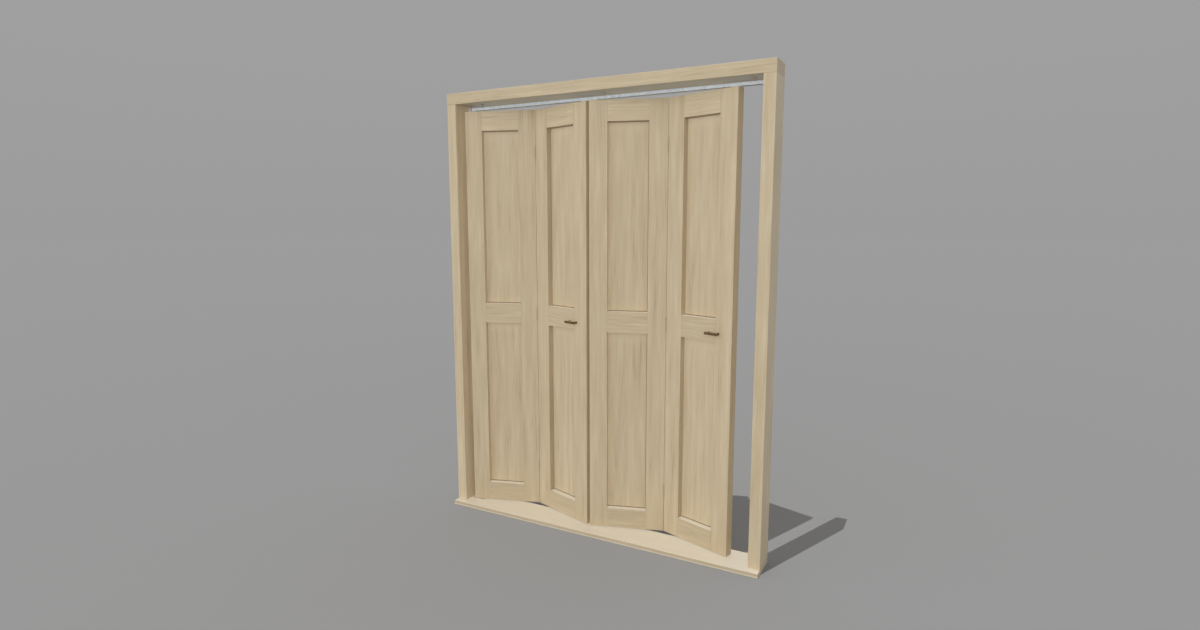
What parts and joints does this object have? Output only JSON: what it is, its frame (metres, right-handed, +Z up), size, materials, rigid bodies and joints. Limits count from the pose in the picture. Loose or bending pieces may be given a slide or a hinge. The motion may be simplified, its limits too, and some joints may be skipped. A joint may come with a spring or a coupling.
{
  "type": "bifold closet door",
  "caption": "Framed bifold closet door: panelled wooden leaves fold in pairs on pivot pins under a top track, with a bar pull on each pair, in jambs with a head and sill.",
  "frame": {"origin": "underside of the sill, in the middle of the frame's width and of the jambs' depth, straight below the track", "axes": "+X to the right along the doorway seen from the side with the pulls, +Y to the back, where the joints of each pair fold out, +Z up"},
  "size_m": [1.616, 0.217, 2.1],
  "materials": {
    "frame_wood": "pale oak, satin clear coat",
    "leaf_wood": "pale oak, satin clear coat",
    "panel_wood": "pale oak veneer, satin clear coat",
    "zinc_steel": "zinc plated",
    "hinge_metal": "satin nickel",
    "nylon": "moulded nylon",
    "pull_bronze": "dark bronze"
  },
  "bodies": {
    "frame": {"left_jamb": "frame_wood", "right_jamb": "frame_wood", "head_jamb": "frame_wood", "sill": "frame_wood", "track": "zinc_steel", "track_hanger_1": "zinc_steel", "track_hanger_2": "zinc_steel", "track_hanger_3": "zinc_steel", "top_pivot_bracket": "zinc_steel", "bottom_pivot_plate": "zinc_steel"},
    "leaf_1": {"leaf_1_left_stile": "leaf_wood", "leaf_1_right_stile": "leaf_wood", "leaf_1_top_rail": "leaf_wood", "leaf_1_mid_rail": "leaf_wood", "leaf_1_bottom_rail": "leaf_wood", "leaf_1_upper_panel": "panel_wood", "leaf_1_lower_panel": "panel_wood", "leaf_1_lower_hinge_flap": "hinge_metal", "leaf_1_middle_hinge_flap": "hinge_metal", "leaf_1_upper_hinge_flap": "hinge_metal", "leaf_1_top_pin": "zinc_steel", "leaf_1_bottom_pin": "zinc_steel"},
    "leaf_2": {"leaf_2_left_stile": "leaf_wood", "leaf_2_right_stile": "leaf_wood", "leaf_2_top_rail": "leaf_wood", "leaf_2_mid_rail": "leaf_wood", "leaf_2_bottom_rail": "leaf_wood", "leaf_2_upper_panel": "panel_wood", "leaf_2_lower_panel": "panel_wood", "leaf_2_lower_hinge_flap": "hinge_metal", "leaf_2_middle_hinge_flap": "hinge_metal", "leaf_2_upper_hinge_flap": "hinge_metal", "leaf_2_top_pin": "zinc_steel", "leaf_2_pull": "pull_bronze"},
    "middle_glider": {"middle_glider": "nylon"},
    "leaf_3": {"leaf_3_left_stile": "leaf_wood", "leaf_3_right_stile": "leaf_wood", "leaf_3_top_rail": "leaf_wood", "leaf_3_mid_rail": "leaf_wood", "leaf_3_bottom_rail": "leaf_wood", "leaf_3_upper_panel": "panel_wood", "leaf_3_lower_panel": "panel_wood", "leaf_3_lower_hinge_flap": "hinge_metal", "leaf_3_middle_hinge_flap": "hinge_metal", "leaf_3_upper_hinge_flap": "hinge_metal", "leaf_3_top_pin": "zinc_steel"},
    "leaf_4": {"leaf_4_left_stile": "leaf_wood", "leaf_4_right_stile": "leaf_wood", "leaf_4_top_rail": "leaf_wood", "leaf_4_mid_rail": "leaf_wood", "leaf_4_bottom_rail": "leaf_wood", "leaf_4_upper_panel": "panel_wood", "leaf_4_lower_panel": "panel_wood", "leaf_4_lower_hinge_flap": "hinge_metal", "leaf_4_middle_hinge_flap": "hinge_metal", "leaf_4_upper_hinge_flap": "hinge_metal", "leaf_4_top_pin": "zinc_steel", "leaf_4_pull": "pull_bronze"},
    "end_glider": {"end_glider": "nylon"}
  },
  "joints": [
    {"name": "leaf_1_pivot", "type": "hinge", "parent": "frame", "child": "leaf_1", "pos_m": [-0.716, 0, 0], "axis": [0, 0, 1], "range_deg": [-17.4, 67.6]},
    {"name": "leaf_2_fold", "type": "hinge", "parent": "leaf_1", "child": "leaf_2", "pos_m": [-0.38885, 0.07832, 0], "axis": [0, 0, 1], "range_deg": [-135.2, 34.8]},
    {"name": "leaf_2_pin", "type": "hinge", "parent": "leaf_2", "child": "middle_glider", "pos_m": [-0.0617, 0, 0], "axis": [0, 0, 1], "range_deg": [-17.4, 67.6]},
    {"name": "leaf_3_pin", "type": "hinge", "parent": "middle_glider", "child": "leaf_3", "pos_m": [-0.0197, 0, 0], "axis": [0, 0, 1], "range_deg": [-17.4, 67.6]},
    {"name": "leaf_4_fold", "type": "hinge", "parent": "leaf_3", "child": "leaf_4", "pos_m": [0.30745, 0.07832, 0], "axis": [0, 0, 1], "range_deg": [-135.2, 34.8]},
    {"name": "leaf_4_pin", "type": "hinge", "parent": "leaf_4", "child": "end_glider", "pos_m": [0.6346, 0, 0], "axis": [0, 0, 1], "range_deg": [-17.4, 67.6]}
  ],
  "couplings": [
    {"joint": "leaf_2_fold", "follows": "leaf_1_pivot", "ratio": -2},
    {"joint": "leaf_2_pin", "follows": "leaf_1_pivot", "ratio": 1},
    {"joint": "leaf_3_pin", "follows": "leaf_1_pivot", "ratio": 1},
    {"joint": "leaf_4_fold", "follows": "leaf_1_pivot", "ratio": -2},
    {"joint": "leaf_4_pin", "follows": "leaf_1_pivot", "ratio": 1}
  ]
}
